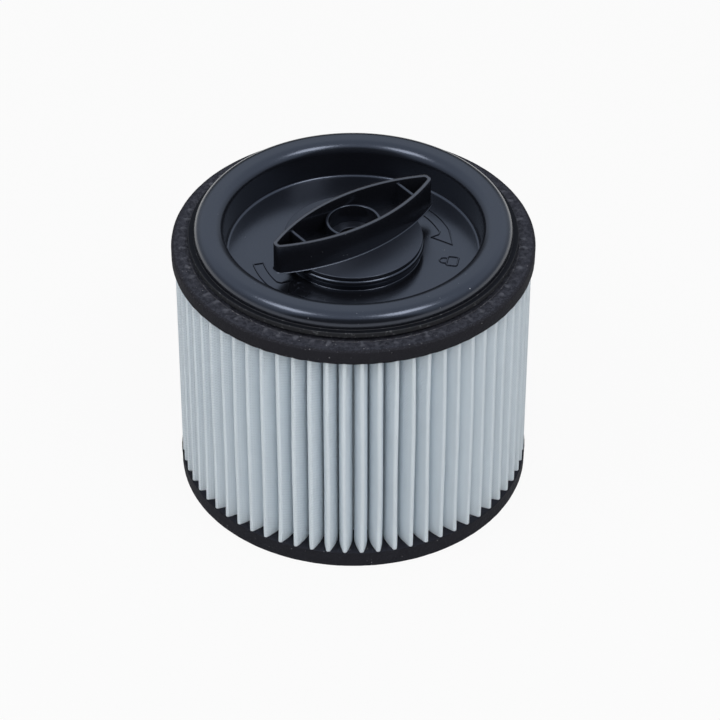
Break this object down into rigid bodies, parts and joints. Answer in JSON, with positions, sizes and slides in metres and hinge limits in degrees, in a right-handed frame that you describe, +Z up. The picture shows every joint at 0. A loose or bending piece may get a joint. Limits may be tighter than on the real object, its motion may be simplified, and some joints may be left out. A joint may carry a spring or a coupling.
{
  "type": "pleated vacuum filter",
  "caption": "Round pleated filter cartridge with soft end caps and a dished lid, whose lens-shaped twist knob locks it onto a vacuum cleaner's filter cage.",
  "frame": {"origin": "middle of the lower end cap's under face, on which the filter stands", "axes": "+Z up along the bore and the knob's turning axis; -Y towards the side the picture was taken from"},
  "size_m": [0.176, 0.176, 0.1517],
  "materials": {
    "filter_sheet": "matte non-woven",
    "core_plastic": "matte",
    "cap_rubber": "matte, dusty",
    "lid_plastic": "satin",
    "screw_steel": "zinc plated"
  },
  "bodies": {
    "cartridge": {"pleat_pack": "filter_sheet", "support_core": "core_plastic", "upper_end_cap": "cap_rubber", "lower_end_cap": "cap_rubber", "lid": "lid_plastic"},
    "knob": {"lock_knob": "lid_plastic", "bayonet_key": "lid_plastic", "knob_screw": "screw_steel", "screw_washer": "screw_steel", "shaft_seal": "cap_rubber"}
  },
  "joints": [
    {"name": "knob_turn", "type": "hinge", "parent": "cartridge", "child": "knob", "pos_m": [0, 0, 0.1343], "axis": [0, 0, 1], "range_deg": [-46, 14]}
  ]
}
